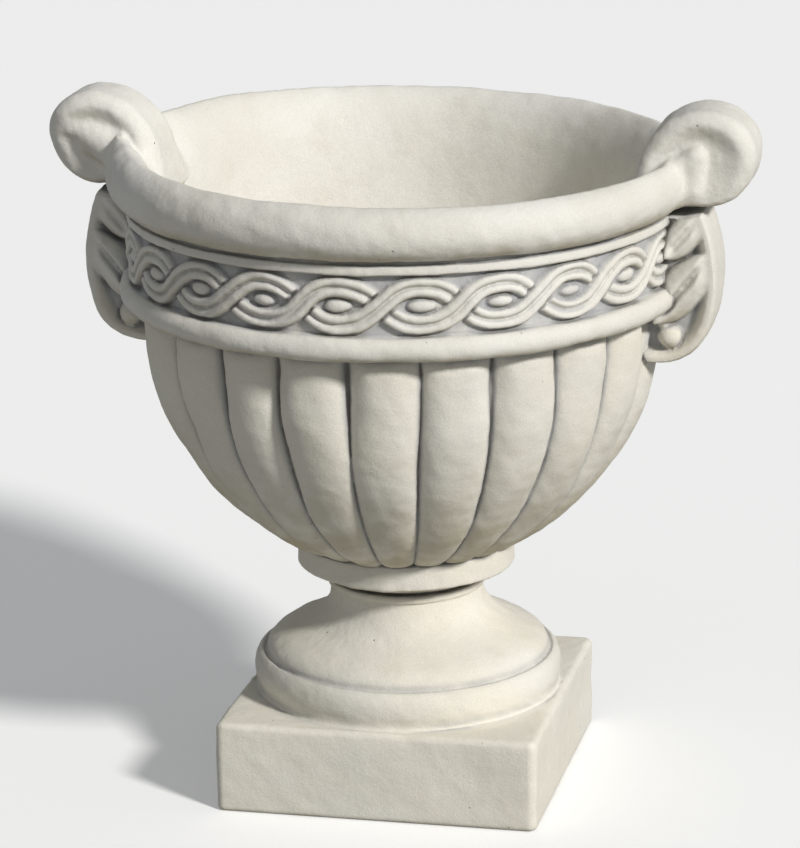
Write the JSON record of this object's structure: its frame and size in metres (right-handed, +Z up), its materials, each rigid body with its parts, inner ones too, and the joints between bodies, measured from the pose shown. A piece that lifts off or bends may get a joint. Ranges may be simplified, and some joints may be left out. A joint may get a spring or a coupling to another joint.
{
  "type": "urn planter",
  "caption": "Free-standing cast-stone urn planter: gadrooned bowl with a guilloche frieze, rolled rim, scroll handles and leaf brackets, on a round socle with a square plinth",
  "frame": {"origin": "centre of the plinth's underside", "axes": "+Z up; +X along the line through both scroll handles, the longest extent in plan; -Y towards the front of the picture"},
  "size_m": [0.659, 0.5388, 0.6465],
  "materials": {
    "cast_stone": "matt, antiqued cast stone",
    "mortar": "matt bedding mortar",
    "spigot_plastic": "matt",
    "stainless_pin": "drawn bar"
  },
  "bodies": {
    "root": {"pedestal_foot": "cast_stone", "urn_bowl": "cast_stone", "scroll_handle_left": "cast_stone", "scroll_handle_right": "cast_stone", "leaf_bracket_left": "cast_stone", "leaf_bracket_right": "cast_stone", "mortar_bed_ring": "mortar", "drain_spigot_tube": "spigot_plastic", "scroll_dowel_left_1": "stainless_pin", "scroll_dowel_left_2": "stainless_pin", "scroll_dowel_right_1": "stainless_pin", "scroll_dowel_right_2": "stainless_pin", "bracket_dowel_left_1": "stainless_pin", "bracket_dowel_left_2": "stainless_pin", "bracket_dowel_right_1": "stainless_pin", "bracket_dowel_right_2": "stainless_pin"}
  },
  "joints": []
}
